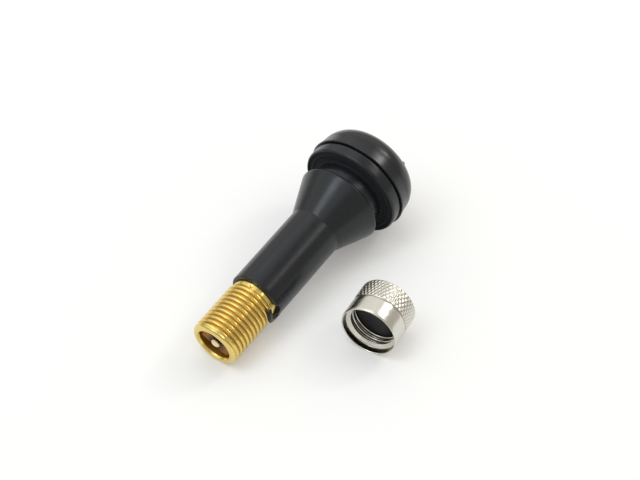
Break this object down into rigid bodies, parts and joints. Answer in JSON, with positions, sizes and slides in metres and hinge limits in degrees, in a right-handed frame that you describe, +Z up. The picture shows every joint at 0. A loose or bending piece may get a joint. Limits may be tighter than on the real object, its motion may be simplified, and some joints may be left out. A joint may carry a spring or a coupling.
{
  "type": "tyre valve",
  "caption": "Snap-in rubber tyre valve with a brass stem, spring-loaded core and pin, lying on its side with its knurled metal cap off beside it.",
  "frame": {"origin": "on the floor, in the middle of the box round the valve and its cap as they lie", "axes": "+Z up, -Y from the rubber head towards the brass tip, +X from the valve towards the cap"},
  "size_m": [0.0296, 0.0422, 0.0168],
  "materials": {
    "rubber": "satin moulded",
    "stem_brass": "bright turned",
    "core_brass": "dulled",
    "seal": "matt",
    "spring_steel": "drawn wire",
    "pin_brass": "satin",
    "washer": "matt",
    "cap_plating": "bright nickel plate"
  },
  "bodies": {
    "valve": {"rubber_body": "rubber", "brass_stem": "stem_brass", "core_plug": "core_brass", "core_barrel": "core_brass", "barrel_seal": "seal", "core_spring": "spring_steel", "cap_shell": "cap_plating", "cap_seal": "washer"},
    "plunger": {"core_pin": "pin_brass", "plunger_cup": "core_brass", "plunger_seal": "washer"}
  },
  "joints": [
    {"name": "pin_press", "type": "slide", "parent": "valve", "child": "plunger", "axis": [0, 0.9918, 0.1277], "range_m": [0, 0.0018], "stiffness_N_per_m": 1200, "springref_m": -0.0025, "deforming": ["core_spring"]}
  ]
}
